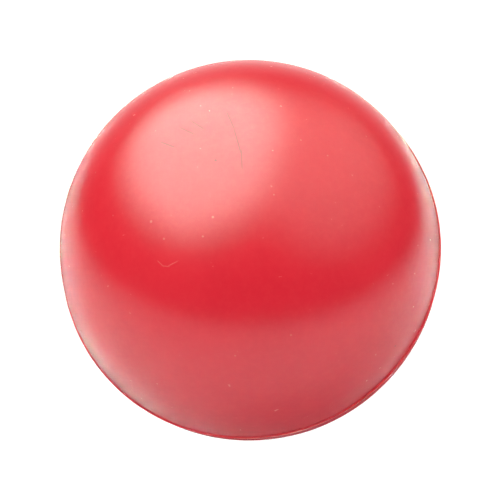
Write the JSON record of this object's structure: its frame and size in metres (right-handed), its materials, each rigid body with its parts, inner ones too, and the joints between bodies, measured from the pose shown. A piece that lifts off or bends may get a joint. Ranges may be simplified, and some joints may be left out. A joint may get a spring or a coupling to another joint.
{
  "type": "stress ball",
  "caption": "Round squeezable foam stress ball with a satin red moulded skin in two halves, a fine parting-line ridge and a foam core.",
  "frame": {"origin": "centre of the ball, on the plane where the two moulded halves meet", "axes": "+Z along the pole axis, from the hidden lower half with the vent to the smooth upper half; X and Y lie in the parting plane and are free, because the ball is round about Z"},
  "size_m": [0.0702, 0.0702, 0.0696],
  "materials": {
    "painted_skin": "satin",
    "bare_foam": "matte"
  },
  "bodies": {
    "lower_half": {"lower_skin": "painted_skin", "foam_core": "bare_foam", "parting_bead": "painted_skin", "vent_stub": "bare_foam"},
    "upper_half": {"upper_skin": "painted_skin"}
  },
  "joints": [
    {"name": "squeeze", "type": "slide", "parent": "lower_half", "child": "upper_half", "axis": [0, 0, -1], "range_m": [0, 0.03], "stiffness_N_per_m": 1600, "deforming": ["foam_core", "lower_skin", "parting_bead", "upper_skin"]}
  ]
}
